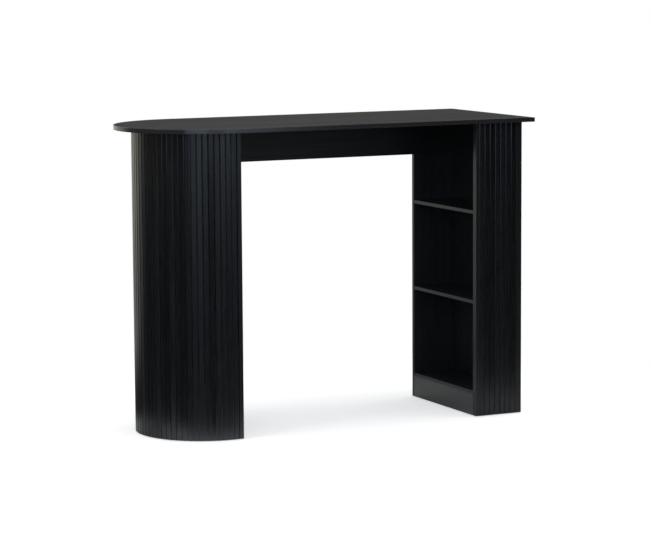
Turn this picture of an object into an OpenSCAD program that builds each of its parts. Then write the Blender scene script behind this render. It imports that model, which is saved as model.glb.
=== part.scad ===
// Bar-height kitchen table: a thin top on a rounded slatted column at one end and a
// narrow open shelf leg at the other, tied together by an apron along the back.
// X runs along the table with the round end at -X, the front is at -Y, the floor is z = 0.

/* [Top] */
// Length of the top
table_l = 1430; // [1200:5:1800]
// Depth of the top; the round end is a half circle of this width
table_d = 600; // [480:5:700]
// Height of the table
table_h = 1050; // [900:5:1150]
// Thickness of the top board
top_t = 15; // [15:1:30]
// Thickness of the plastic edge banding
band_t = 1; // [0.5:0.1:2]

/* [Overhang] */
// Overhang of the top along the front, the back and round the column
overhang = 60; // [20:5:100]
// Overhang of the top past the shelf leg at the square end
end_overhang = 17; // [5:1:60]

/* [Boards] */
// Thickness of the carcass boards
board_t = 15; // [15:1:22]
// Thickness of the shelves and the bottom board
shelf_t = 12; // [12:1:22]
// Thickness of the plates and ribs inside the column
rib_t = 15; // [12:1:22]

/* [Column] */
// Distance from the centre of the round end to the flat side of the column
column_straight = 39; // [30:1:150]
// Number of ribs between the top plate and the bottom plate of the column
rib_count = 2; // [1:1:4]

/* [Shelf leg] */
// Width of the shelf leg along the table
shelf_leg_w = 182; // [150:1:320]
// Height of the plinth board's upper edge
plinth_h = 78; // [55:1:120]
// Height of the lower shelf's upper face
lower_shelf_z = 411; // [300:1:450]
// Height of the upper shelf's upper face
upper_shelf_z = 727; // [600:1:780]

/* [Apron] */
// Height of the apron board
apron_h = 140; // [110:1:200]

/* [Cladding] */
// Distance from slat to slat on the column
slat_pitch = 20; // [14:0.5:40]
// Distance from slat to slat on the shelf leg
leg_slat_pitch = 21; // [14:0.5:40]
// Thickness of a slat
slat_t = 5; // [3.5:0.5:8]
// Thickness of the bendable backing sheet
backing_t = 3; // [2:0.5:6]
// Width of the groove between two slats at their faces
groove_w = 2.6; // [1.5:0.1:5]
// Depth of the sloping part of the groove
groove_depth = 2.5; // [1:0.1:3]
// Width of the slit at the foot of the groove
slit_w = 0.6; // [0.4:0.1:1.2]
// Width of the trim strips that end the slats at the column's corners
trim_w = 15; // [3:0.5:20]
// Width of the shelf leg's left trim strip; the right one also takes what the slats leave
leg_trim_w = 12; // [3:0.5:20]

/* [Fittings] */
// Diameter of a dowel
dowel_d = 8; // [6:1:10]
// Length of a long dowel
dowel_l = 30; // [25:1:40]
// Depth of a dowel in the face of a board
dowel_in_face = 10; // [8:0.5:12]
// Diameter of a cam lock
cam_d = 15; // [12:1:18]
// Height of a cam lock
cam_h = 12.2; // [11:0.1:13]
// Height of the lower cam locks that fit in the shelves and the bottom board
shelf_cam_h = 9.8; // [9:0.1:10.5]
// Distance from the joint to the centre of the cam lock
cam_reach = 24; // [20:1:34]
// Diameter of a cam bolt's shank
bolt_d = 6; // [5:0.5:7]
// Length of a cam bolt's thread in the face of a board
bolt_thread_l = 11; // [8:0.5:12]
// Diameter of the long screws through the end board
screw_d = 6.5; // [5:0.5:7]
// Length of the long screws through the end board
screw_l = 50; // [40:1:60]
// Diameter of the short screws through the apron
short_screw_d = 4; // [3:0.5:5]
// Length of the short screws through the apron
short_screw_l = 25; // [20:1:28]
// Diameter of a cover cap
cap_d = 18; // [17:1:22]
// Thickness of a cover cap
cap_t = 1; // [0.6:0.1:2]
// Diameter of a glide's pad
glide_d = 14; // [10:1:15]
// Thickness of a glide's pad
glide_t = 2; // [1:0.5:6]
// Length of a glide's nail
glide_nail_l = 14; // [8:1:20]
// Radial clearance of a fitting in its bore
fit = 0.1; // [0.05:0.01:0.2]

/* [Hidden] */
$fn = 64;

// Cuts run this far past a face
over = 1;

// Colours
black_top = [0.16, 0.16, 0.165];
black_slat = [0.09, 0.092, 0.1];
black_board = [0.08, 0.08, 0.085];
black_band = [0.2, 0.2, 0.2];
raw_board = [0.62, 0.5, 0.36];
raw_ply = [0.78, 0.64, 0.44];
dowel_wood = [0.85, 0.72, 0.5];
zinc = [0.66, 0.66, 0.68];
black_zinc = [0.1, 0.1, 0.105];
black_plastic = [0.05, 0.05, 0.05];

// Levels and faces
end_x = table_l / 2;
round_x = table_d / 2 - table_l / 2;
leg_top = table_h - top_t;
leg_y = table_d / 2 - overhang;
clad_t = backing_t + slat_t;
core_y = leg_y - clad_t;
backing_r = core_y + backing_t;
column_face_x = round_x + column_straight;
column_in_x = column_face_x - board_t;
shelf_x1 = end_x - end_overhang;
shelf_x0 = shelf_x1 - shelf_leg_w;
end_in_x = shelf_x1 - board_t;
front_in_y = board_t - core_y;
back_in_y = leg_y - board_t;
apron_y = back_in_y - board_t;
apron_z = leg_top - apron_h;
bottom_top_z = plinth_h + shelf_t;
leg_h = leg_top - glide_t;

// Slats: the column's run from trim to trim, and the shelf leg's row of whole slats
column_run = 2 * (column_straight - trim_w) + PI * leg_y;
column_whole = floor(column_run / slat_pitch);
column_rest = (column_run - column_whole * slat_pitch) / 2;
least_slat_w = groove_w + 1;
front_count = floor((shelf_leg_w - 2 * leg_trim_w) / leg_slat_pitch);
front_slat_x0 = shelf_x0 + leg_trim_w;
front_slat_x1 = front_slat_x0 + front_count * leg_slat_pitch;

// Heights of the column's plates and ribs
rib_step = (leg_h - rib_t) / (rib_count + 1);
rib_levels = [for (i = [0:rib_count + 1]) glide_t + i * rib_step];

// Places of the fittings, each [point on the joint, turn]. The turned Z axis points into the
// board that is drilled in its edge, and the turned Y axis out of the face that takes the cam.
down_facing_x = [180, 0, 90];
down_facing_y = [180, 0, 180];
down_facing_back_x = [180, 0, -90];
to_back_facing_down = [-90, 0, 0];
to_front_facing_down = [-90, 0, 180];
to_back_facing_back_x = [-90, 90, 0];
to_front_facing_back_x = [90, -90, 0];
to_back_facing_x = [-90, -90, 0];
to_front_facing_x = [90, 90, 0];
to_right_facing_back = [0, 90, 0];
to_left = [0, -90, 0];

edge_margin = 40;
board_mid = board_t / 2;
shelf_mid = shelf_t / 2;
shelf_mid_x = (shelf_x0 + end_in_x) / 2;
column_cam_y = core_y * 0.65;
plate_dowel_y = core_y * 0.35;
plate_dowel_x = round_x - core_y * 0.55;
front_board_mid_y = front_in_y - board_mid;
end_mid_x = end_in_x + board_mid;
apron_mid_y = apron_y + board_mid;
apron_span = shelf_x0 - column_face_x;
apron_bay_x = [for (k = [0.25, 0.75]) column_face_x + k * apron_span];
end_board_cam_levels = [
    (bottom_top_z + lower_shelf_z - shelf_t) / 2,
    (lower_shelf_z + upper_shelf_z - shelf_t) / 2,
    upper_shelf_z + (apron_z - upper_shelf_z) * 0.6
];
end_board_dowel_levels = [for (z = end_board_cam_levels) z - 2 * edge_margin];
apron_cam_levels = [apron_z + apron_h * 0.25, apron_z + apron_h * 0.6];
shelf_mid_levels = [for (z = [bottom_top_z, lower_shelf_z, upper_shelf_z]) z - shelf_mid];
shelf_cam_x = [shelf_x0 + edge_margin, end_in_x - edge_margin];

column_top_cams = [for (y = [-column_cam_y, column_cam_y])
    [[column_face_x - board_mid, y, leg_top], down_facing_x]];
front_top_cams = [for (x = [shelf_x0 + edge_margin, end_in_x - edge_margin])
    [[x, front_board_mid_y, leg_top], down_facing_y]];
end_top_cams = [for (y = [-core_y * 0.4, core_y * 0.4])
    [[end_mid_x, y, leg_top], down_facing_back_x]];
apron_top_cams = [for (x = apron_bay_x) [[x, apron_mid_y, leg_top], down_facing_y]];
top_cams = concat(column_top_cams, front_top_cams, end_top_cams, apron_top_cams);

column_top_dowels = [[[column_face_x - board_mid, 0, leg_top], down_facing_x]];
front_top_dowels = [[[shelf_mid_x, front_board_mid_y, leg_top], down_facing_y]];
back_top_dowels = [for (x = shelf_cam_x) [[x, leg_y - board_mid, leg_top], down_facing_y]];
end_top_dowels = [[[end_mid_x, 0, leg_top], down_facing_back_x]];
apron_top_dowels = [[[(column_face_x + shelf_x0) / 2, apron_mid_y, leg_top], down_facing_y]];
top_dowel_spots = concat(column_top_dowels, front_top_dowels, back_top_dowels,
    end_top_dowels, apron_top_dowels);
plate_dowel_spots = [for (y = [-plate_dowel_y, plate_dowel_y])
    [[plate_dowel_x, y, leg_top], down_facing_x]];

function front_and_back(x, z, front_turn, back_turn) =
    [[[x, front_in_y, z], front_turn], [[x, back_in_y, z], back_turn]];
function board_cams(z) = [for (x = shelf_cam_x)
    each front_and_back(x, z, to_back_facing_down, to_front_facing_down)];
function board_dowels(z) =
    front_and_back(shelf_mid_x, z, to_back_facing_down, to_front_facing_down);
shelf_cam_spots = [for (z = shelf_mid_levels) each board_cams(z)];
shelf_dowel_spots = [for (z = shelf_mid_levels) each board_dowels(z)];
end_cam_spots = [for (z = end_board_cam_levels)
    each front_and_back(end_mid_x, z, to_back_facing_back_x, to_front_facing_back_x)];
end_dowel_spots = [for (z = end_board_dowel_levels)
    each front_and_back(end_mid_x, z, to_back_facing_back_x, to_front_facing_back_x)];
plinth_x = shelf_x0 + board_mid;
plinth_cam_spots =
    front_and_back(plinth_x, glide_t + plinth_h * 0.3, to_back_facing_x, to_front_facing_x);
plinth_dowel_spots =
    front_and_back(plinth_x, glide_t + plinth_h * 0.7, to_back_facing_x, to_front_facing_x);
apron_cam_spots = [for (z = apron_cam_levels)
    [[column_face_x, apron_mid_y, z], to_right_facing_back]];
apron_dowel_spots = [[[column_face_x, apron_mid_y, apron_z + apron_h * 0.42], to_right_facing_back]];
rib_dowel_spots = [for (z = rib_levels, y = [-core_y * 0.45, core_y * 0.45])
    [[column_in_x, y, z + rib_t / 2], to_left]];

// Long screws start at the end board's outer face, short ones at the apron's front face
screw_spots = [for (z = [apron_z + apron_h * 0.25, apron_z + apron_h * 0.75])
    [[shelf_x1, apron_mid_y, z], to_left]];
short_screw_spots = [for (x = shelf_cam_x) [[x, apron_y, apron_z + apron_h / 2], [-90, 0, 0]]];

column_glide_spots = concat(
    [for (y = [-1, 1]) [column_in_x - edge_margin, y * (core_y - edge_margin)]],
    [for (y = [-1, 1]) [round_x - core_y * 0.7, y * core_y * 0.45]]
);
shelf_leg_glide_spots = [for (x = shelf_cam_x, y = [front_board_mid_y, leg_y - board_mid]) [x, y]];

// A rectangular block between two opposite corners
module block(low, high) {
    translate(low) cube(high - low);
}

// Copies of a fitting, or of its bore, at a list of places
module at(spots) {
    for (s = spots) translate(s[0]) rotate(s[1]) children();
}

// The plan of the top and of the column: a half circle with a straight part up to face_x
module round_plan(r, face_x) {
    intersection() {
        translate([round_x, 0]) circle(r = r, $fn = 360);
        translate([round_x - r - over, -r - over]) square([r + over, 2 * (r + over)]);
    }
    translate([round_x, -r]) square([face_x - round_x, 2 * r]);
}

module dowel(length, depth) {
    chamfer = dowel_d / 10;
    translate([0, 0, -depth]) {
        translate([0, 0, chamfer]) cylinder(d = dowel_d, h = length - 2 * chamfer);
        cylinder(d1 = dowel_d - 2 * chamfer, d2 = dowel_d, h = chamfer);
        translate([0, 0, length - chamfer])
            cylinder(d1 = dowel_d, d2 = dowel_d - 2 * chamfer, h = chamfer);
    }
}

module dowel_bore(length, depth) {
    translate([0, 0, -depth - fit]) cylinder(d = dowel_d + 2 * fit, h = length + 2 * fit);
}

// The cam sits in the edge-drilled board, level with its face, which is `face` from the mid plane
module cam_seat(d, h, face) {
    translate([0, face - h, cam_reach]) rotate([-90, 0, 0]) cylinder(d = d, h = h);
}

module cam_lock(h = cam_h, face = board_mid) {
    mouth_w = bolt_d + 4 * fit;
    cross_w = cam_d / 2;
    cross_t = cam_d / 10;
    cross_h = h / 5;
    difference() {
        cam_seat(cam_d, h, face);
        translate([-mouth_w / 2, -mouth_w / 2, cam_reach - cam_d])
            cube([mouth_w, mouth_w, cam_d + mouth_w / 2]);
        translate([-cross_w / 2, face - cross_h, cam_reach - cross_t / 2])
            cube([cross_w, cross_h + over, cross_t]);
        translate([-cross_t / 2, face - cross_h, cam_reach - cross_w / 2])
            cube([cross_t, cross_h + over, cross_w]);
    }
}

module cam_bolt() {
    neck_d = bolt_d * 0.6;
    head_h = bolt_d * 0.5;
    neck_h = bolt_d * 0.5;
    shank_h = cam_reach - head_h / 2 - neck_h;
    translate([0, 0, -bolt_thread_l]) cylinder(d = bolt_d, h = bolt_thread_l + shank_h);
    translate([0, 0, shank_h]) cylinder(d = neck_d, h = neck_h);
    translate([0, 0, shank_h + neck_h]) cylinder(d = bolt_d, h = head_h);
}

module cam_bore(h = cam_h, face = board_mid) {
    translate([0, 0, -bolt_thread_l - fit])
        cylinder(d = bolt_d + 2 * fit, h = bolt_thread_l + fit + cam_reach);
    translate([0, face - h - fit, cam_reach]) rotate([-90, 0, 0])
        cylinder(d = cam_d + 2 * fit, h = h + fit + over);
}

module cam_cap() {
    translate([0, board_mid, cam_reach]) rotate([-90, 0, 0]) cylinder(d = cap_d, h = cap_t);
}

// A countersunk screw with its head at z = 0 and its point at z = length
module wood_screw(d, length) {
    head_h = d / 2;
    point_h = d;
    difference() {
        cylinder(d1 = 2 * d, d2 = d, h = head_h);
        translate([0, 0, -over]) cylinder(d = d * 0.6, h = over + head_h / 2, $fn = 6);
    }
    translate([0, 0, head_h]) cylinder(d = d, h = length - head_h - point_h);
    translate([0, 0, length - point_h]) cylinder(d1 = d, d2 = d / 4, h = point_h);
}

module wood_screw_bore(d, length) {
    head_h = d / 2;
    cylinder(d1 = 2 * d + 2 * fit, d2 = d + 2 * fit, h = head_h);
    cylinder(d = d + 2 * fit, h = length + fit);
}

// One slat in plan: its back on v = 0, sunk by `over` to be trimmed to the backing
module slat_plan(w, r) {
    shrink = (r - slat_t) / r;
    base = (w - slit_w) / 2 * shrink;
    face = (w - groove_w) / 2;
    polygon([
        [-base, -over], [base, -over], [base, slat_t - groove_depth],
        [face, slat_t], [-face, slat_t], [-base, slat_t - groove_depth]
    ]);
}

// Carries a slat to its place on the column, s millimetres round from the front trim
module on_column(s) {
    straight = column_straight - trim_w;
    arc = PI * leg_y;
    if (s < straight)
        translate([column_face_x - trim_w - s, -backing_r]) rotate(180) children();
    else if (s > straight + arc)
        translate([round_x + s - straight - arc, backing_r]) children();
    else
        translate([round_x, 0]) rotate(180 - (s - straight) / leg_y * 180 / PI)
            translate([0, backing_r]) children();
}

module top_board() {
    color(black_top) difference() {
        translate([0, 0, leg_top]) linear_extrude(top_t)
            round_plan(table_d / 2 - band_t, end_x - band_t);
        at(top_cams) cam_bore();
        at(top_dowel_spots) dowel_bore(dowel_l, dowel_in_face);
        at(plate_dowel_spots) dowel_bore(2 * dowel_in_face, dowel_in_face);
    }
}

module top_edge_band() {
    color(black_band) translate([0, 0, leg_top]) linear_extrude(top_t) difference() {
        round_plan(table_d / 2, end_x);
        round_plan(table_d / 2 - band_t, end_x - band_t);
    }
}

module column_side_board() {
    color(black_board) difference() {
        block([column_in_x, -core_y, glide_t], [column_face_x, core_y, leg_top]);
        at(column_top_cams) cam_bore();
        at(apron_cam_spots) cam_bore();
        at(column_top_dowels) dowel_bore(dowel_l, dowel_in_face);
        at(apron_dowel_spots) dowel_bore(dowel_l, dowel_in_face);
        at(rib_dowel_spots) dowel_bore(dowel_l, dowel_in_face);
    }
}

// The plan of a column plate at one of the rib levels
module column_plate(z) {
    difference() {
        translate([0, 0, z]) linear_extrude(rib_t) round_plan(core_y, column_in_x);
        at(rib_dowel_spots) dowel_bore(dowel_l, dowel_in_face);
        at(plate_dowel_spots) dowel_bore(2 * dowel_in_face, dowel_in_face);
        at_floor(column_glide_spots) glide_bore();
    }
}

module column_top_plate() {
    color(raw_board) column_plate(rib_levels[rib_count + 1]);
}

module column_bottom_plate() {
    color(raw_board) column_plate(rib_levels[0]);
}

module column_ribs() {
    color(raw_board) for (i = [1:rib_count]) column_plate(rib_levels[i]);
}

module column_backing() {
    color(raw_ply) translate([0, 0, glide_t]) linear_extrude(leg_h) difference() {
        round_plan(backing_r, column_face_x - trim_w);
        round_plan(core_y, column_face_x);
    }
}

module column_slats() {
    color(black_slat) translate([0, 0, glide_t]) linear_extrude(leg_h) difference() {
        union() {
            for (i = [0:column_whole - 1])
                on_column(column_rest + (i + 0.5) * slat_pitch) slat_plan(slat_pitch, leg_y);
            if (column_rest > least_slat_w)
                for (s = [column_rest / 2, column_run - column_rest / 2])
                    on_column(s) slat_plan(column_rest, leg_y);
        }
        round_plan(backing_r, column_face_x);
    }
}

module column_corner_trims() {
    color(black_band) for (y = [-leg_y, core_y])
        block([column_face_x - trim_w, y, glide_t], [column_face_x, y + clad_t, leg_top]);
}

// Glides are nailed up into the boards
module at_floor(spots) {
    for (p = spots) translate([p[0], p[1], 0]) children();
}

module glide() {
    nail_d = glide_d / 6;
    rim = glide_t / 4;
    cylinder(d1 = glide_d - 2 * rim, d2 = glide_d, h = rim);
    translate([0, 0, rim]) cylinder(d = glide_d, h = glide_t - rim);
    translate([0, 0, glide_t]) cylinder(d = nail_d, h = glide_nail_l - nail_d);
    translate([0, 0, glide_t + glide_nail_l - nail_d])
        cylinder(d1 = nail_d, d2 = nail_d / 4, h = nail_d);
}

module glide_bore() {
    translate([0, 0, glide_t - fit])
        cylinder(d = glide_d / 6 + 2 * fit, h = glide_nail_l + 2 * fit);
}

module column_glides() {
    color(black_plastic) at_floor(column_glide_spots) glide();
}

module front_side_board() {
    color(black_board) difference() {
        block([shelf_x0 + band_t, -core_y, glide_t], [shelf_x1 - band_t, front_in_y, leg_top]);
        at(front_top_cams) cam_bore();
        at(front_top_dowels) dowel_bore(dowel_l, dowel_in_face);
        side_bores();
    }
}

module back_side_board() {
    color(black_board) difference() {
        block([shelf_x0 + band_t, back_in_y, glide_t], [shelf_x1 - band_t, leg_y, leg_top]);
        at(back_top_dowels) dowel_bore(dowel_l, dowel_in_face);
        at(short_screw_spots) wood_screw_bore(short_screw_d, short_screw_l);
        side_bores();
    }
}

// Bores that both side boards share for the boards between them and the glides
module side_bores() {
    at(shelf_cam_spots) cam_bore();
    at(end_cam_spots) cam_bore();
    at(plinth_cam_spots) cam_bore();
    at(shelf_dowel_spots) dowel_bore(dowel_l, dowel_in_face);
    at(end_dowel_spots) dowel_bore(dowel_l, dowel_in_face);
    at(plinth_dowel_spots) dowel_bore(dowel_l, dowel_in_face);
    at_floor(shelf_leg_glide_spots) glide_bore();
}

module front_backing() {
    color(raw_ply) block([front_slat_x0, -backing_r, glide_t], [front_slat_x1, -core_y, leg_top]);
}

module front_slats() {
    color(black_slat) translate([0, -backing_r, glide_t]) linear_extrude(leg_h) difference() {
        for (i = [0:front_count - 1])
            translate([front_slat_x0 + (i + 0.5) * leg_slat_pitch, 0]) rotate(180)
                slat_plan(leg_slat_pitch, leg_y);
        translate([shelf_x0, 0]) square([shelf_leg_w, 2 * over]);
    }
}

module front_corner_trims() {
    color(black_band) for (x = [[shelf_x0, front_slat_x0], [front_slat_x1, shelf_x1]])
        block([x[0], -leg_y, glide_t], [x[1], -core_y, leg_top]);
}

module end_board() {
    color(black_board) difference() {
        block([end_in_x, front_in_y, glide_t], [shelf_x1, back_in_y, leg_top]);
        at(end_top_cams) cam_bore();
        at(end_top_dowels) dowel_bore(dowel_l, dowel_in_face);
        at(end_cam_spots) cam_bore();
        at(end_dowel_spots) dowel_bore(dowel_l, dowel_in_face);
        at(screw_spots) wood_screw_bore(screw_d, screw_l);
    }
}

// A board between the two side boards, with its upper face at z
module shelf(z) {
    difference() {
        block([shelf_x0 + band_t, front_in_y, z - shelf_t], [end_in_x, back_in_y, z]);
        at(board_cams(z - shelf_mid)) cam_bore(shelf_cam_h, shelf_mid);
        at(board_dowels(z - shelf_mid)) dowel_bore(dowel_l, dowel_in_face);
    }
}

module shelf_band(z) {
    block([shelf_x0, front_in_y, z - shelf_t], [shelf_x0 + band_t, back_in_y, z]);
}

module bottom_board() {
    color(black_board) shelf(bottom_top_z);
}

module lower_shelf() {
    color(black_board) shelf(lower_shelf_z);
}

module upper_shelf() {
    color(black_board) shelf(upper_shelf_z);
}

module bottom_board_edge_band() {
    color(black_band) shelf_band(bottom_top_z);
}

module lower_shelf_edge_band() {
    color(black_band) shelf_band(lower_shelf_z);
}

module upper_shelf_edge_band() {
    color(black_band) shelf_band(upper_shelf_z);
}

module plinth_board() {
    color(black_board) difference() {
        block([shelf_x0, front_in_y, glide_t], [shelf_x0 + board_t, back_in_y, plinth_h]);
        at(plinth_cam_spots) cam_bore();
        at(plinth_dowel_spots) dowel_bore(dowel_l, dowel_in_face);
    }
}

module side_edge_bands() {
    color(black_band) for (x = [shelf_x0, shelf_x1 - band_t]) {
        block([x, -core_y, glide_t], [x + band_t, front_in_y, leg_top]);
        block([x, back_in_y, glide_t], [x + band_t, leg_y, leg_top]);
    }
}

module shelf_leg_glides() {
    color(black_plastic) at_floor(shelf_leg_glide_spots) glide();
}

module apron_board() {
    color(black_board) difference() {
        block([column_face_x, apron_y, apron_z + band_t], [end_in_x, back_in_y, leg_top]);
        at(apron_top_cams) cam_bore();
        at(apron_top_dowels) dowel_bore(dowel_l, dowel_in_face);
        at(apron_cam_spots) cam_bore();
        at(apron_dowel_spots) dowel_bore(dowel_l, dowel_in_face);
        at(screw_spots) wood_screw_bore(screw_d, screw_l);
        at(short_screw_spots) wood_screw_bore(short_screw_d, short_screw_l);
    }
}

module apron_edge_band() {
    color(black_band) block([column_face_x, apron_y, apron_z], [end_in_x, back_in_y, apron_z + band_t]);
}

module rib_dowels() {
    color(dowel_wood) at(rib_dowel_spots) dowel(dowel_l, dowel_in_face);
}

module plate_dowels() {
    color(dowel_wood) at(plate_dowel_spots) dowel(2 * dowel_in_face, dowel_in_face);
}

module top_dowels() {
    color(dowel_wood) at(top_dowel_spots) dowel(dowel_l, dowel_in_face);
}

module shelf_dowels() {
    color(dowel_wood) at(shelf_dowel_spots) dowel(dowel_l, dowel_in_face);
}

module end_board_dowels() {
    color(dowel_wood) at(end_dowel_spots) dowel(dowel_l, dowel_in_face);
}

module plinth_dowels() {
    color(dowel_wood) at(plinth_dowel_spots) dowel(dowel_l, dowel_in_face);
}

module apron_dowels() {
    color(dowel_wood) at(apron_dowel_spots) dowel(dowel_l, dowel_in_face);
}

module top_cam_locks() {
    color(zinc) at(top_cams) cam_lock();
}

module top_cam_bolts() {
    color(zinc) at(top_cams) cam_bolt();
}

module shelf_cam_locks() {
    color(zinc) at(shelf_cam_spots) cam_lock(shelf_cam_h, shelf_mid);
}

module shelf_cam_bolts() {
    color(zinc) at(shelf_cam_spots) cam_bolt();
}

module end_board_cam_locks() {
    color(zinc) at(end_cam_spots) cam_lock();
}

module end_board_cam_bolts() {
    color(zinc) at(end_cam_spots) cam_bolt();
}

module plinth_cam_locks() {
    color(zinc) at(plinth_cam_spots) cam_lock();
}

module plinth_cam_bolts() {
    color(zinc) at(plinth_cam_spots) cam_bolt();
}

module apron_cam_locks() {
    color(zinc) at(apron_cam_spots) cam_lock();
}

module apron_cam_bolts() {
    color(zinc) at(apron_cam_spots) cam_bolt();
}

module apron_end_screws() {
    color(zinc) at(screw_spots) wood_screw(screw_d, screw_l);
}

module apron_face_screws() {
    color(black_zinc) at(short_screw_spots) wood_screw(short_screw_d, short_screw_l);
}

module cam_caps() {
    color(black_plastic) at(concat(top_cams, end_cam_spots, apron_cam_spots)) cam_cap();
}

module screw_caps() {
    color(black_plastic) at(screw_spots) translate([0, 0, -cap_t]) cylinder(d = cap_d, h = cap_t);
}

top_board();
top_edge_band();
column_side_board();
column_top_plate();
column_bottom_plate();
column_ribs();
column_backing();
column_slats();
column_corner_trims();
column_glides();
front_side_board();
front_backing();
front_slats();
front_corner_trims();
back_side_board();
end_board();
bottom_board();
plinth_board();
lower_shelf();
upper_shelf();
side_edge_bands();
shelf_leg_glides();
lower_shelf_edge_band();
upper_shelf_edge_band();
bottom_board_edge_band();
apron_board();
apron_edge_band();
rib_dowels();
plate_dowels();
top_dowels();
shelf_dowels();
end_board_dowels();
plinth_dowels();
apron_dowels();
top_cam_locks();
top_cam_bolts();
shelf_cam_locks();
shelf_cam_bolts();
end_board_cam_locks();
end_board_cam_bolts();
plinth_cam_locks();
plinth_cam_bolts();
apron_cam_locks();
apron_cam_bolts();
apron_end_screws();
apron_face_screws();
cam_caps();
screw_caps();
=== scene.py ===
import math
import random

import bpy
from mathutils import Matrix, Vector


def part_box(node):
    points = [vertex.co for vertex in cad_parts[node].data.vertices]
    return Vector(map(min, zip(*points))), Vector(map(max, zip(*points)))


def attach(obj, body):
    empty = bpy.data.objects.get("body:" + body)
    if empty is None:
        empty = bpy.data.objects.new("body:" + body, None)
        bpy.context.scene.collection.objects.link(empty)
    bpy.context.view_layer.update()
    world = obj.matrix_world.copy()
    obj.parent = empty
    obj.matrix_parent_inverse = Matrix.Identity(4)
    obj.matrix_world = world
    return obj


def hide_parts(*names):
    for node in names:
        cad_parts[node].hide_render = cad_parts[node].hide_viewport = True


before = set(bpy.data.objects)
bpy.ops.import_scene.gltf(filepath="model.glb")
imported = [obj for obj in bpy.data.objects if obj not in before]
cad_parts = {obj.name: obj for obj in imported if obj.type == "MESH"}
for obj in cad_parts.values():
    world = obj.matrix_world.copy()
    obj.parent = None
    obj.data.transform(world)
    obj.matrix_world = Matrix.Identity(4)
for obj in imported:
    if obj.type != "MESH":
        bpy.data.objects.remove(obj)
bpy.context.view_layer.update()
print("stage: frame loaded")


# Camera

cameraSettings = {
    "place": (-3.7857, -7.9353, 1.6166),
    "turn": 0.4498,  # to the right of straight ahead
    "tilt": 0.1257,  # down
    "roll": -0.0064,
    "lens": 140.7,
    "sensor": 36,
    "reach": 60,
}


def addCamera(settings):
    turn = Matrix.Rotation(-settings["turn"], 3, "Z")
    tilt = Matrix.Rotation(math.pi / 2 - settings["tilt"], 3, "X")
    roll = Matrix.Rotation(settings["roll"], 3, "Z")
    aim = (turn @ tilt @ roll).to_euler()
    bpy.ops.object.camera_add(location=settings["place"], rotation=aim)
    camera = bpy.context.object
    camera.name = "photoCamera"
    camera.data.lens = settings["lens"]
    camera.data.sensor_width = settings["sensor"]
    camera.data.clip_end = settings["reach"]
    bpy.context.scene.camera = camera


addCamera(cameraSettings)


# Short calls for building the nodes of a material or of the world

class Nodes:
    def __init__(self, owner):
        owner.use_nodes = True
        self.tree = owner.node_tree
        self.shader = self.tree.nodes.get("Principled BSDF")

    # Another node's output is linked to the socket, and a number or colour is set on it.
    def put(self, value, socket):
        if isinstance(value, bpy.types.NodeSocket):
            self.tree.links.new(value, socket)
        else:
            socket.default_value = value

    def add(self, kind, **values):
        node = self.tree.nodes.new(kind)
        for key, value in values.items():
            if hasattr(node, key):
                setattr(node, key, value)
            else:
                self.put(value, node.inputs[key.replace("_", " ")])
        return node

    def setShader(self, **values):
        for key, value in values.items():
            self.put(value, self.shader.inputs[key.replace("_", " ")])


def mathOf(made, operation, *values):
    node = made.add("ShaderNodeMath", operation=operation)
    for value, socket in zip(values, node.inputs):
        made.put(value, socket)
    return node.outputs[0]


def vectorMathOf(made, operation, *vectors, output="Vector"):
    node = made.add("ShaderNodeVectorMath", operation=operation)
    for vector, socket in zip(vectors, node.inputs):
        made.put(vector, socket)
    return node.outputs[output]


def scaledVector(made, vector, factor):
    node = made.add("ShaderNodeVectorMath", operation="SCALE", Scale=factor)
    made.put(vector, node.inputs[0])
    return node.outputs["Vector"]


def product(made, *values):
    result = values[0]
    for value in values[1:]:
        result = mathOf(made, "MULTIPLY", result, value)
    return result


def greatest(made, *values):
    result = values[0]
    for value in values[1:]:
        result = mathOf(made, "MAXIMUM", result, value)
    return result


# Carries a value over from one range to another.
def carried(made, value, fromRange=(0, 1), toRange=(0, 1), curve="LINEAR"):
    node = made.add(
        "ShaderNodeMapRange", interpolation_type=curve, Value=value,
        From_Min=fromRange[0], From_Max=fromRange[1], To_Min=toRange[0], To_Max=toRange[1],
    )
    return node.outputs["Result"]


# A value that runs smoothly from 0 to 1 between two limits.
def fade(made, value, limits):
    return carried(made, value, limits, curve="SMOOTHSTEP")


def blended(made, kind, factor, first, second):
    mix = made.add("ShaderNodeMix", data_type=kind, Factor=factor, A=first, B=second)
    return mix.outputs["Result"]


def twoTone(made, value, limits, dark, light):
    ramp = made.add("ShaderNodeValToRGB", Fac=value)
    for stop, limit, colour in zip(ramp.color_ramp.elements, limits, (dark, light)):
        stop.position = limit
        stop.color = (*colour, 1)
    return ramp.outputs["Color"]


def bumped(made, height, strength, depth):
    bump = made.add("ShaderNodeBump", Strength=strength, Distance=depth, Height=height)
    return bump.outputs["Normal"]


# Adds light of its own to a surface, as strong as the product of the given values.
def addGlow(made, surface, values, tint=(1, 1, 1)):
    glow = made.add("ShaderNodeEmission", Color=(*tint, 1), Strength=product(made, *values))
    both = made.add("ShaderNodeAddShader")
    made.put(surface, both.inputs[0])
    made.put(glow.outputs[0], both.inputs[1])
    return both.outputs[0]


def deselectAll():
    if bpy.context.object and bpy.context.object.mode != "OBJECT":
        bpy.ops.object.mode_set(mode="OBJECT")
    bpy.ops.object.select_all(action="DESELECT")


# Floor, world and lamps

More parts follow.
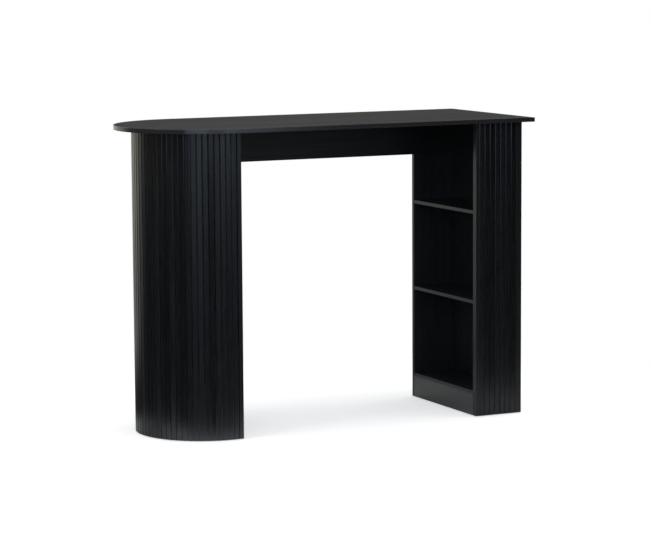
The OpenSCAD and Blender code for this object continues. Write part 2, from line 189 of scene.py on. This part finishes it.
floorSettings = {
    "size": 60,
    "below": 0.0005,  # the glides' feet
    "roughness": 0.9,
    "specular": 0.1,
    "white": 0.93,
    "far": 0.065,  # grey past the paper, where only reflections show it
    "ends": (-0.66, 0.6),  # the paper lies along the table, from leg to leg
    "paperFrom": (0.22, 0.473),  # at the left end, at the right end
    "paperTo": (0.50, 1.30),
    "paperGlow": 1.2,
    "paperTint": (0.93, 1.0, 1.06),
    "paperGlowAlong": (0.6, -0.66),  # none at the right end, all at the left end
    "paperGlowAcross": (0.02, -0.32),  # only in front of the table
    "back": (0.6, 2.8),  # how far behind the table the backdrop sets in
    "backTurn": (0.6, 0.9),  # cosine of the angle from straight behind
    "backGlow": 0.58,
    "backGlowAcross": (3.2, 9.5),
    "backTint": (1.0, 1.02, 0.80),
    "lift": 0.5,  # of the floor that the camera sees, under its shadow
    "seen": (0.75, 1.7),  # from here on the camera sees plain white
}


# How much of the white paper a spot has: all of it round the legs, and none further out.
def paperShare(made, spot, settings):
    left, right = settings["ends"]
    along = made.add("ShaderNodeClamp", Value=spot.outputs["X"], Min=left, Max=right).outputs[0]
    past = mathOf(made, "SUBTRACT", spot.outputs["X"], along)
    aside = made.add("ShaderNodeCombineXYZ", X=past, Y=spot.outputs["Y"])
    fromTable = vectorMathOf(made, "LENGTH", aside.outputs["Vector"], output="Value")
    outer = carried(made, along, settings["ends"], settings["paperTo"])
    inner = carried(made, along, settings["ends"], settings["paperFrom"])
    inside = carried(made, fromTable, (outer, inner))
    return product(made, inside, inside)


# The same for the white backdrop, which lies behind the table.
def backdropShare(made, place, spot, settings):
    heading = vectorMathOf(made, "NORMALIZE", place)
    turned = made.add("ShaderNodeSeparateXYZ", Vector=heading)
    return product(
        made,
        fade(made, turned.outputs["Y"], settings["backTurn"]),
        fade(made, spot.outputs["Y"], settings["back"]),
    )


def addFloor(settings):
    deselectAll()
    bpy.ops.mesh.primitive_plane_add(size=settings["size"], location=(0, 0, -settings["below"]))
    floor = bpy.context.object
    floor.name = "paleFloor"
    material = bpy.data.materials.new("paleFloor")
    made = Nodes(material)
    place = made.add("ShaderNodeTexCoord").outputs["Object"]
    spot = made.add("ShaderNodeSeparateXYZ", Vector=place)
    path = made.add("ShaderNodeLightPath")
    forCamera = path.outputs["Is Camera Ray"]
    forGloss = path.outputs["Is Glossy Ray"]
    paper = paperShare(made, spot, settings)
    backdrop = backdropShare(made, place, spot, settings)
    white = greatest(made, paper, backdrop, forCamera)
    made.setShader(
        Base_Color=carried(made, white, toRange=(settings["far"], settings["white"])),
        Roughness=settings["roughness"],
        Specular_IOR_Level=settings["specular"],
    )
    lifted = addGlow(made, made.shader.outputs["BSDF"], [forCamera, settings["lift"]])
    nearLeft = fade(made, spot.outputs["X"], settings["paperGlowAlong"])
    inFront = fade(made, spot.outputs["Y"], settings["paperGlowAcross"])
    paperGlow = [forGloss, paper, nearLeft, inFront, settings["paperGlow"]]
    lifted = addGlow(made, lifted, paperGlow, settings["paperTint"])
    farBehind = fade(made, spot.outputs["Y"], settings["backGlowAcross"])
    backGlow = [forGloss, backdrop, farBehind, settings["backGlow"]]
    lifted = addGlow(made, lifted, backGlow, settings["backTint"])
    away = vectorMathOf(made, "LENGTH", place, output="Value")
    mix = made.add("ShaderNodeMixShader")
    made.put(product(made, forCamera, fade(made, away, settings["seen"])), mix.inputs["Fac"])
    made.put(lifted, mix.inputs[1])
    made.put(made.add("ShaderNodeEmission", Strength=1).outputs[0], mix.inputs[2])
    made.put(mix.outputs[0], made.tree.nodes["Material Output"].inputs["Surface"])
    floor.data.materials.append(material)


worldSettings = {
    "ambient": 0.38,
    "frontGloss": 0.03,  # a dark room in front and at the sides
    "backGloss": 1.0,  # a white backdrop behind
    "back": (0.45, 0.88),  # Y of the directions in which the backdrop sets in
    "backdropLeft": (0.80, 0.815, 0.64),
    "backdropRight": (1.0, 0.99, 0.94),
    "left": (0.34, 0.05),  # X of the directions in which it goes over to the left tint
}


def setWorld(settings):
    world = bpy.data.worlds.new("whiteSurround")
    bpy.context.scene.world = world
    made = Nodes(world)
    place = made.add("ShaderNodeTexCoord")
    direction = made.add("ShaderNodeSeparateXYZ", Vector=place.outputs["Generated"])
    path = made.add("ShaderNodeLightPath")
    mirrored = greatest(made, path.outputs["Is Glossy Ray"], path.outputs["Is Transmission Ray"])
    toLeft = fade(made, direction.outputs["X"], settings["left"])
    backdrop = blended(
        made, "RGBA", toLeft, (*settings["backdropRight"], 1), (*settings["backdropLeft"], 1)
    )
    colour = blended(made, "RGBA", mirrored, (1, 1, 1, 1), backdrop)
    toBack = fade(made, direction.outputs["Y"], settings["back"])
    gloss = carried(made, toBack, toRange=(settings["frontGloss"], settings["backGloss"]))
    strength = blended(made, "FLOAT", mirrored, settings["ambient"], gloss)
    background = made.tree.nodes["Background"]
    made.put(colour, background.inputs["Color"])
    made.put(greatest(made, path.outputs["Is Camera Ray"], strength), background.inputs["Strength"])


lampSettings = {
    "topLamp": {
        "place": (1.4, -0.1, 4.2), "aim": (0.8, 0, 1.0), "size": (3.0, 3.0), "power": 60,
        "colour": (1, 1, 1),
    },
    "leftLamp": {
        "place": (-2.6, -0.4, 3.8), "aim": (0, 0, 0.6), "size": (1.8, 1.8), "power": 34,
        "colour": (1, 0.99, 0.97),
    },
    "leftWall": {
        "place": (-5.0, 2.35, 1.65), "aim": (0, 2.35, 1.65), "size": (11.3, 2.7), "power": 11.5,
        "colour": (1, 1, 0.95),
    },
    "leftWindow": {
        "place": (-3.03, -4.2, 2.04), "aim": (-3.03, 0, 2.04), "size": (2.86, 2.72), "power": 47,
        "colour": (0.80, 0.94, 1.14),
    },
    "middleWindow": {
        "place": (-0.85, -4.2, 2.04), "aim": (-0.85, 0, 2.04), "size": (1.4, 2.72), "power": 12,
        "colour": (0.82, 0.94, 1.12),
    },
    "rightWindow": {
        "place": (0.72, -4.2, 2.04), "aim": (0.72, 0, 2.04), "size": (1.6, 2.72), "power": 24,
        "colour": (0.82, 0.94, 1.12),
    },
}


def addLamps(lamps):
    for name, lamp in lamps.items():
        place = Vector(lamp["place"])
        aim = (Vector(lamp["aim"]) - place).to_track_quat("-Z", "Y").to_euler()
        bpy.ops.object.light_add(type="AREA", location=place, rotation=aim)
        light = bpy.context.object
        light.name = name
        light.visible_camera = False
        light.data.shape = "RECTANGLE"
        light.data.size, light.data.size_y = lamp["size"]
        light.data.energy = lamp["power"]
        light.data.color = lamp["colour"]


bpy.context.scene.view_settings.view_transform = "Standard"
addFloor(floorSettings)
setWorld(worldSettings)
addLamps(lampSettings)
print("stage: camera, floor and lamps")


# Materials

foilGrain = {
    "streakNoise": {"Scale": 1, "Detail": 7, "Roughness": 0.62, "Distortion": 0.6},
    "poreNoise": {"Scale": 1, "Detail": 3, "Roughness": 0.5},
    "toneLimits": (0.36, 0.68),
    "poreLimits": (0.35, 0.55),
    "glossLimits": (0.3, 0.7),
    "poreHeight": 0.6,  # next to the height of the streaks
    "depth": 0.0004,
    "slatShift": 7.0,  # between the patterns of two slats
}


def stretchedNoise(made, place, stretch, noise):
    stretched = made.add("ShaderNodeMapping", Vector=place, Scale=stretch).outputs["Vector"]
    return made.add("ShaderNodeTexNoise", Vector=stretched, **noise).outputs["Fac"]


# Wood grain on a foil or on bare wood: long streaks, fine pores and a little change of gloss.
# On slats each slat has its own pattern, tone and gloss, from the number that it carries.
def woodFoil(name, look, grain):
    material = bpy.data.materials.new(name)
    made = Nodes(material)
    place = made.add("ShaderNodeTexCoord").outputs["Object"]
    onSlats = "slatTone" in look
    if onSlats:
        slat = made.add("ShaderNodeAttribute", attribute_name="slat")
        shift = scaledVector(made, slat.outputs["Vector"], grain["slatShift"])
        place = vectorMathOf(made, "ADD", place, shift)
    streaks = stretchedNoise(made, place, look["streaks"], grain["streakNoise"])
    pores = stretchedNoise(made, place, look["pores"], grain["poreNoise"])
    tone = twoTone(made, streaks, grain["toneLimits"], look["dark"], look["light"])
    poreTone = carried(made, pores, grain["poreLimits"], (look["poreDepth"], 1))
    colour = scaledVector(made, tone, poreTone)
    glossy, dull = look["roughness"]
    roughness = carried(made, streaks, grain["glossLimits"], (dull, glossy))
    if onSlats:
        slatTone = carried(made, slat.outputs["Fac"], toRange=look["slatTone"])
        colour = scaledVector(made, colour, slatTone)
        slatGloss = look["slatGloss"]
        roughness = mathOf(made, "MULTIPLY_ADD", slat.outputs["Fac"], slatGloss, roughness)
    height = mathOf(made, "MULTIPLY_ADD", pores, grain["poreHeight"], streaks)
    made.setShader(
        Base_Color=colour,
        Roughness=roughness,
        Normal=bumped(made, height, look["bump"], grain["depth"]),
        Specular_IOR_Level=look["specular"],
    )
    return material


speckleGrain = {
    "noise": {"Detail": 4, "Roughness": 0.6},
    "toneLimits": (0.35, 0.65),
    "depth": 0.0002,
}


# A moulded, plated or pressed surface: fine speckle in colour, gloss and bump.
def speckled(name, look, grain):
    material = bpy.data.materials.new(name)
    made = Nodes(material)
    place = made.add("ShaderNodeTexCoord").outputs["Object"]
    noise = made.add("ShaderNodeTexNoise", Vector=place, Scale=look["scale"], **grain["noise"])
    speckle = noise.outputs["Fac"]
    made.setShader(
        Base_Color=twoTone(made, speckle, grain["toneLimits"], look["dark"], look["light"]),
        Roughness=carried(made, speckle, toRange=look["roughness"]),
        Normal=bumped(made, speckle, look["bump"], grain["depth"]),
        Metallic=look.get("metallic", 0),
        Specular_IOR_Level=look.get("specular", 0.5),
    )
    return material


# How many streaks and pores a metre has in X, Y and Z: few along the grain, many across it
uprightStreaks, uprightPores = (70, 70, 2.2), (520, 520, 11)
slatStreaks, slatPores = (190, 190, 14), (620, 620, 20)
lengthStreaks, lengthPores = (2.2, 70, 70), (11, 520, 520)
depthStreaks, depthPores = (70, 2.2, 70), (520, 11, 520)

foils = {
    "topLaminate": {
        "streaks": (1.6, 34, 34), "pores": (14, 420, 420), "dark": (0.0215, 0.022, 0.0252),
        "light": (0.0272, 0.0277, 0.031), "poreDepth": 0.9, "roughness": (0.62, 0.7),
        "bump": 0.08, "specular": 0.05,
    },
    "slatFoil": {
        "streaks": slatStreaks, "pores": slatPores, "dark": (0.0038, 0.0041, 0.0048),
        "light": (0.0148, 0.0162, 0.0184), "poreDepth": 0.6, "roughness": (0.13, 0.21),
        "bump": 0.45, "specular": 0.4, "slatTone": (0.75, 1.25), "slatGloss": 0.14,
    },
    "uprightBoardFoil": {
        "streaks": uprightStreaks, "pores": uprightPores, "dark": (0.008, 0.0085, 0.0098),
        "light": (0.018, 0.019, 0.021), "poreDepth": 0.7, "roughness": (0.3, 0.42),
        "bump": 0.2, "specular": 0.6,
    },
    "lengthBoardFoil": {
        "streaks": lengthStreaks, "pores": lengthPores, "dark": (0.0075, 0.0078, 0.0086),
        "light": (0.017, 0.0175, 0.019), "poreDepth": 0.7, "roughness": (0.3, 0.42),
        "bump": 0.2, "specular": 0.36,
    },
    "depthBoardFoil": {
        "streaks": depthStreaks, "pores": depthPores, "dark": (0.0075, 0.0082, 0.0095),
        "light": (0.0165, 0.018, 0.0205), "poreDepth": 0.7, "roughness": (0.3, 0.42),
        "bump": 0.2, "specular": 0.95,
    },
    "trimFoil": {
        "streaks": uprightStreaks, "pores": uprightPores, "dark": (0.004, 0.0042, 0.0045),
        "light": (0.0155, 0.016, 0.0175), "poreDepth": 0.7, "roughness": (0.26, 0.42),
        "bump": 0.3, "specular": 0.45,
    },
    "dowelBeech": {
        "streaks": (90, 90, 90), "pores": (600, 600, 600), "dark": (0.50, 0.33, 0.18),
        "light": (0.68, 0.48, 0.29), "poreDepth": 0.85, "roughness": (0.55, 0.7),
        "bump": 0.2, "specular": 0.4,
    },
    "backingPly": {
        "streaks": (40, 40, 3), "pores": (400, 400, 30), "dark": (0.010, 0.009, 0.008),
        "light": (0.020, 0.018, 0.016), "poreDepth": 0.8, "roughness": (0.7, 0.85),
        "bump": 0.2, "specular": 0.3,
    },
}
mouldings = {
    "edgePlastic": {
        "scale": 260, "dark": (0.0185, 0.0193, 0.0222), "light": (0.0255, 0.0263, 0.0300),
        "roughness": (0.24, 0.34), "bump": 0.06, "specular": 0.24,
    },
    "topEdgePlastic": {
        "scale": 260, "dark": (0.017, 0.0175, 0.0185), "light": (0.024, 0.0245, 0.0255),
        "roughness": (0.14, 0.22), "bump": 0.05,
    },
    "blackPlastic": {
        "scale": 900, "dark": (0.012, 0.012, 0.012), "light": (0.019, 0.019, 0.019),
        "roughness": (0.4, 0.6), "bump": 0.15,
    },
    "pressedBoard": {
        "scale": 330, "dark": (0.27, 0.18, 0.10), "light": (0.52, 0.39, 0.25),
        "roughness": (0.75, 0.95), "bump": 0.5, "specular": 0.3,
    },
    "zincPlate": {
        "scale": 480, "dark": (0.50, 0.50, 0.52), "light": (0.68, 0.68, 0.70),
        "roughness": (0.28, 0.5), "bump": 0.1, "metallic": 1.0,
    },
    "blackZinc": {
        "scale": 480, "dark": (0.018, 0.018, 0.019), "light": (0.03, 0.03, 0.032),
        "roughness": (0.4, 0.55), "bump": 0.1, "metallic": 0.9,
    },
}
materials = {name: woodFoil(name, look, foilGrain) for name, look in foils.items()}
materials.update({name: speckled(name, look, speckleGrain) for name, look in mouldings.items()})
print("stage: materials")


# Modelling helpers

modelling = {
    "facing": 0.99,  # least cosine between a face and the side that it is picked for
    "flat": 0.9999,  # the same for a flat face next to its rounded arrises
    "upright": 0.999,  # the same for an upright edge
    "level": 1e-6,  # points this close to a plane lie in it
    "touching": 0.0005,  # faces this close lie against each other
    "digits": 6,  # of a coordinate, in which the corners of one solid agree
    "segments": 3,  # of a rounded arris
    "smoothAngle": 40,
}


# A cube primitive fitted between two corners, with its place in its mesh.
def addBlock(name, low, high):
    low, high = Vector(low), Vector(high)
    deselectAll()
    bpy.ops.mesh.primitive_cube_add(size=1, location=(low + high) / 2)
    block = bpy.context.object
    block.name = name
    block.scale = high - low
    bpy.ops.object.transform_apply(location=True, rotation=True, scale=True)
    return block


# Goes into edit mode with only the wanted faces or edges selected.
def selectOnly(piece, kind, wanted):
    bpy.ops.object.mode_set(mode="EDIT")
    bpy.ops.mesh.select_mode(type=kind)
    bpy.ops.mesh.select_all(action="DESELECT")
    bpy.ops.object.mode_set(mode="OBJECT")
    parts = piece.data.polygons if kind == "FACE" else piece.data.edges
    for part in parts:
        part.select = wanted(part)
    bpy.ops.object.mode_set(mode="EDIT")


def facing(*direction):
    aim = Vector(direction)
    return lambda face: face.normal.dot(aim) > modelling["facing"]


def levelFaces(leastCosine):
    return lambda face: abs(face.normal.z) > leastCosine


def bevelSelected(width):
    bpy.ops.mesh.bevel(offset=width, segments=modelling["segments"], affect="EDGES")
    bpy.ops.object.mode_set(mode="OBJECT")


# Rounds the edges that border the wanted faces.
def roundArrises(piece, wanted, width):
    selectOnly(piece, "FACE", wanted)
    bevelSelected(width)


def joinPieces(name, parts):
    deselectAll()
    for part in parts:
        part.select_set(True)
    bpy.context.view_layer.objects.active = parts[0]
    if len(parts) > 1:
        bpy.ops.object.join()
    joined = bpy.context.object
    joined.name = name
    joined.data.name = name
    return joined


# Smooth shading on the rounded arrises, while the weighted normals keep the flat faces flat.
def shadePiece(piece):
    deselectAll()
    piece.select_set(True)
    bpy.context.view_layer.objects.active = piece
    bpy.ops.object.shade_smooth_by_angle(angle=math.radians(modelling["smoothAngle"]))
    weigh = piece.modifiers.new("weigh", "WEIGHTED_NORMAL")
    weigh.keep_sharp = True
    bpy.ops.object.modifier_apply(modifier=weigh.name)


def finishPiece(piece, material, node):
    shadePiece(piece)
    piece.data.materials.clear()
    piece.data.materials.append(materials[material])
    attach(piece, "root")
    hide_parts(node)


# The lowest and highest corner of each loose part of a CAD node, from low X to high X.
def looseParts(node):
    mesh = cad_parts[node].data
    digits = modelling["digits"]
    places = [tuple(round(c, digits) for c in vertex.co) for vertex in mesh.vertices]
    leader = {place: place for place in places}

    def find(place):
        while leader[place] != place:
            leader[place] = leader[leader[place]]
            place = leader[place]
        return place

    for face in mesh.polygons:
        corners = [places[i] for i in face.vertices]
        for corner in corners[1:]:
            leader[find(corner)] = find(corners[0])
    groups = {}
    for place in leader:
        groups.setdefault(find(place), []).append(place)
    boxes = []
    for group in groups.values():
        low = Vector([min(values) for values in zip(*group)])
        high = Vector([max(values) for values in zip(*group)])
        boxes.append((low, high))
    return sorted(boxes, key=lambda box: tuple(box[0]))


# Slats

slatSettings = {
    "columnPitch": 0.020,
    "legPitch": 0.021,
    "slit": 0.0010,  # open width at the foot of a groove
    "slopeWidth": 0.0021,  # the long sides slope back beside the face
    "slopeDepth": 0.0014,
    "round": 0.0005,  # where the slopes meet the face
    "leastWidth": 0.0056,  # a narrower rest beside the corner trims gets no slat
    "seed": 20,
}
toneDice = random.Random(slatSettings["seed"])


def isUpright(piece, edge):
    start, end = (piece.data.vertices[i].co for i in edge.vertices)
    return abs((end - start).normalized().z) > modelling["upright"]


# One slat with its back on y = 0 and its face towards -Y: sloped long sides beside the face.
def addSlat(width, thickness, bottom, top, settings):
    half = (width - settings["slit"]) / 2
    depth = settings["slopeDepth"]
    narrowed = (half - settings["slopeWidth"]) / half
    slat = addBlock("slat", (-half, depth - thickness, bottom), (half, 0, top))
    selectOnly(slat, "FACE", facing(0, -1, 0))
    bpy.ops.mesh.extrude_region_move(TRANSFORM_OT_translate={"value": (0, -depth, 0)})
    bpy.ops.transform.resize(value=(narrowed, 1, 1), center_override=(0, -thickness, 0))
    bpy.ops.object.mode_set(mode="OBJECT")
    inFace = [abs(point.co.y + thickness) < modelling["level"] for point in slat.data.vertices]

    def besideFace(edge):
        return all(inFace[i] for i in edge.vertices) and isUpright(slat, edge)

    selectOnly(slat, "EDGE", besideFace)
    bevelSelected(settings["round"])
    return slat


# A copy with its own mesh and its own number in the attribute that the foil reads.
def copySlat(slat, place, turn):
    deselectAll()
    slat.select_set(True)
    bpy.context.view_layer.objects.active = slat
    bpy.ops.object.duplicate()
    copy = bpy.context.object
    copy.location = place
    copy.rotation_euler = (0, 0, turn)
    bpy.ops.object.transform_apply(location=True, rotation=True, scale=True)
    number = toneDice.random()
    tone = copy.data.attributes.new("slat", "FLOAT", "POINT")
    tone.data.foreach_set("value", [number] * len(copy.data.vertices))
    return copy


def buildSlats(name, node, spots, widths, bottom, top, thickness, settings):
    masters = {width: addSlat(width, thickness, bottom, top, settings) for width in set(widths)}
    copies = [copySlat(masters[width], place, turn) for (place, turn), width in zip(spots, widths)]
    for master in masters.values():
        bpy.data.objects.remove(master)
    finishPiece(joinPieces(name, copies), "slatFoil", node)


# Slats side by side round the backing, from one corner trim to the other.
def buildColumnSlats(settings):
    backingLow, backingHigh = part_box("column_backing")
    trimLow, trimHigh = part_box("column_corner_trims")
    backRadius = backingHigh.y
    faceRadius = trimHigh.y
    centreX = backingLow.x + backRadius
    straight = trimLow.x - centreX
    arc = math.pi * faceRadius
    run = 2 * straight + arc
    pitch = settings["columnPitch"]
    whole = math.floor(run / pitch)
    rest = (run - whole * pitch) / 2

    # Place and turn of a slat by how far its middle is along the slats' faces
    def spotAt(distance):
        if distance < straight:
            return (trimLow.x - distance, -backRadius, 0), 0
        if distance > straight + arc:
            return (centreX + distance - straight - arc, backRadius, 0), math.pi
        angle = (distance - straight) / faceRadius
        across, along = -math.sin(angle) * backRadius, -math.cos(angle) * backRadius
        return (centreX + across, along, 0), -angle

    middles = [rest + (i + 0.5) * pitch for i in range(whole)]
    widths = [pitch] * whole
    if rest > settings["leastWidth"]:
        middles += [rest / 2, run - rest / 2]
        widths += [rest, rest]
    buildSlats(
        "columnSlats", "column_slats", [spotAt(middle) for middle in middles], widths,
        backingLow.z, backingHigh.z, faceRadius - backRadius, settings,
    )


def buildFrontSlats(settings):
    low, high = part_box("front_backing")
    thickness = low.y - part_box("front_corner_trims")[0].y
    pitch = settings["legPitch"]
    count = round((high.x - low.x) / pitch)
    spots = [((low.x + (i + 0.5) * pitch, low.y, 0), 0) for i in range(count)]
    buildSlats(
        "frontSlats", "front_slats", spots, [pitch] * count, low.z, high.z, thickness, settings
    )


buildColumnSlats(slatSettings)
buildFrontSlats(slatSettings)
print("stage: slats")


# Edge banding of the top

topBandSettings = {
    "turns": 256,  # sides of the full circle
    "arris": 0.0006,
    "flatAngle": 0.5,  # degrees, less than between two sides of the circle
}


# The top's outline as a solid, with rounded arrises, then hollowed to the banding's thickness.
def buildTopBand(settings):
    low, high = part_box("top_edge_band")
    thickness = high.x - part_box("top_board")[1].x
    radius = high.y
    centreX = low.x + radius
    deselectAll()
    bpy.ops.mesh.primitive_cylinder_add(
        vertices=settings["turns"], radius=radius, depth=high.z - low.z,
        location=(centreX, 0, (low.z + high.z) / 2),
    )
    band = bpy.context.object
    band.name = "topBand"
    bpy.ops.object.transform_apply(location=True, rotation=True, scale=True)
    # Half of the cylinder is cut off, and the cut is drawn out to the square end
    bpy.ops.object.mode_set(mode="EDIT")
    bpy.ops.mesh.select_all(action="SELECT")
    bpy.ops.mesh.bisect(
        plane_co=(centreX, 0, 0), plane_no=(1, 0, 0), use_fill=True, clear_outer=True
    )
    bpy.ops.object.mode_set(mode="OBJECT")
    selectOnly(band, "FACE", facing(1, 0, 0))
    bpy.ops.mesh.extrude_region_move(TRANSFORM_OT_translate={"value": (high.x - centreX, 0, 0)})
    bpy.ops.mesh.select_all(action="SELECT")
    bpy.ops.mesh.dissolve_limited(angle_limit=math.radians(settings["flatAngle"]))
    bpy.ops.object.mode_set(mode="OBJECT")
    roundArrises(band, levelFaces(modelling["facing"]), settings["arris"])
    # The flat faces are opened, and a bridge between the two holes makes the inner wall
    selectOnly(band, "FACE", levelFaces(modelling["flat"]))
    bpy.ops.mesh.inset(thickness=thickness - settings["arris"])
    bpy.ops.mesh.delete(type="ONLY_FACE")
    bpy.ops.mesh.select_mode(type="EDGE")
    bpy.ops.mesh.select_all(action="DESELECT")
    bpy.ops.mesh.select_non_manifold()
    bpy.ops.mesh.bridge_edge_loops()
    bpy.ops.mesh.select_all(action="SELECT")
    bpy.ops.mesh.normals_make_consistent(inside=False)
    bpy.ops.object.mode_set(mode="OBJECT")
    finishPiece(band, "topEdgePlastic", "top_edge_band")


buildTopBand(topBandSettings)
print("stage: top banding")


# Banding strips of the leg and the apron, and corner trims of both legs

bandSettings = {"material": "edgePlastic", "slot": "edge_band", "arris": 0.0004}
trimSettings = {"material": "trimFoil", "slot": "corner_trim", "arris": 0.0011}
edgeBands = {
    "lowerShelfEdgeBand": ("lower_shelf_edge_band", (-1, 0, 0)),
    "upperShelfEdgeBand": ("upper_shelf_edge_band", (-1, 0, 0)),
    "bottomBoardEdgeBand": ("bottom_board_edge_band", (-1, 0, 0)),
    "apronEdgeBand": ("apron_edge_band", (0, 0, -1)),
}


# Strips between given corners, rounded along the arrises of the face that looks outwards.
def buildStrips(name, node, blocks, settings):
    strips = []
    for low, high, outward in blocks:
        strip = addBlock(name, low, high)
        roundArrises(strip, facing(*outward), settings["arris"])
        strips.append(strip)
    finishPiece(joinPieces(name, strips), settings["material"], node)


# Banding along a single edge, which looks to the column, or down on the apron.
def buildEdgeBands(bands, settings):
    for name, (node, outward) in bands.items():
        buildStrips(name, node, [(*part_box(node), outward)], settings)


# The side boards have banding towards the column and, beside the end board, to the right.
def buildSideBands(settings):
    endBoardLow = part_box("end_board")[0]
    blocks = []
    for low, high in looseParts("side_edge_bands"):
        outward = (1, 0, 0) if low.x > endBoardLow.x else (-1, 0, 0)
        blocks.append((low, high, outward))
    buildStrips("sideEdgeBands", "side_edge_bands", blocks, settings)


# Trims at the front corners look to the front, and those at the back corners to the back.
def buildTrims(name, node, settings):
    blocks = []
    for low, high in looseParts(node):
        outward = (0, -1, 0) if low.y < 0 else (0, 1, 0)
        blocks.append((low, high, outward))
    buildStrips(name, node, blocks, settings)


buildEdgeBands(edgeBands, bandSettings)
buildSideBands(bandSettings)
buildTrims("columnCornerTrims", "column_corner_trims", trimSettings)
buildTrims("frontCornerTrims", "front_corner_trims", trimSettings)
print("stage: banding strips and trims")


# Cover caps

capSettings = {
    "sides": 40,
    "rim": 0.00045,  # rounding
}


# Caps on the end board's inner face look to the column, the others to the right or the back.
def capDirection(high, axis):
    if axis == 1:
        return Vector((0, 1, 0))
    onInnerFace = abs(high.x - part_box("end_board")[0].x) < modelling["touching"]
    return Vector((-1 if onInnerFace else 1, 0, 0))


# A thin round cap with a rounded rim on each of the node's discs.
def buildCaps(name, node, settings):
    caps = []
    for low, high in looseParts(node):
        size = high - low
        axis = min(range(3), key=lambda i: size[i])
        deselectAll()
        bpy.ops.mesh.primitive_cylinder_add(
            vertices=settings["sides"], radius=max(size) / 2, depth=size[axis], location=(0, 0, 0)
        )
        cap = bpy.context.object
        roundArrises(cap, facing(0, 0, 1), settings["rim"])
        cap.rotation_euler = capDirection(high, axis).to_track_quat("Z", "Y").to_euler()
        cap.location = (low + high) / 2
        bpy.ops.object.transform_apply(location=True, rotation=True, scale=True)
        caps.append(cap)
    finishPiece(joinPieces(name, caps), "blackPlastic", node)


buildCaps("camCaps", "cam_caps", capSettings)
buildCaps("screwCaps", "screw_caps", capSettings)
print("stage: caps")


# Materials of the CAD pieces that stay

nodeMaterials = {
    "topLaminate": ["top_board"],
    "uprightBoardFoil": ["column_side_board", "front_side_board", "back_side_board", "end_board"],
    "lengthBoardFoil": ["apron_board"],
    "depthBoardFoil": ["bottom_board", "plinth_board", "lower_shelf", "upper_shelf"],
    "backingPly": ["column_backing", "front_backing"],
    "pressedBoard": ["column_top_plate", "column_bottom_plate", "column_ribs"],
    "blackPlastic": ["column_glides", "shelf_leg_glides"],
    "dowelBeech": [
        "rib_dowels", "plate_dowels", "top_dowels", "shelf_dowels", "end_board_dowels",
        "plinth_dowels", "apron_dowels",
    ],
    "zincPlate": [
        "top_cam_locks", "top_cam_bolts", "shelf_cam_locks", "shelf_cam_bolts",
        "end_board_cam_locks", "end_board_cam_bolts", "plinth_cam_locks", "plinth_cam_bolts",
        "apron_cam_locks", "apron_cam_bolts", "apron_end_screws",
    ],
    "blackZinc": ["apron_face_screws"],
}
for material, nodes in nodeMaterials.items():
    for node in nodes:
        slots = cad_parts[node].data.materials
        slots.clear()
        slots.append(materials[material])
print("stage: materials of the boards and fittings")

deselectAll()
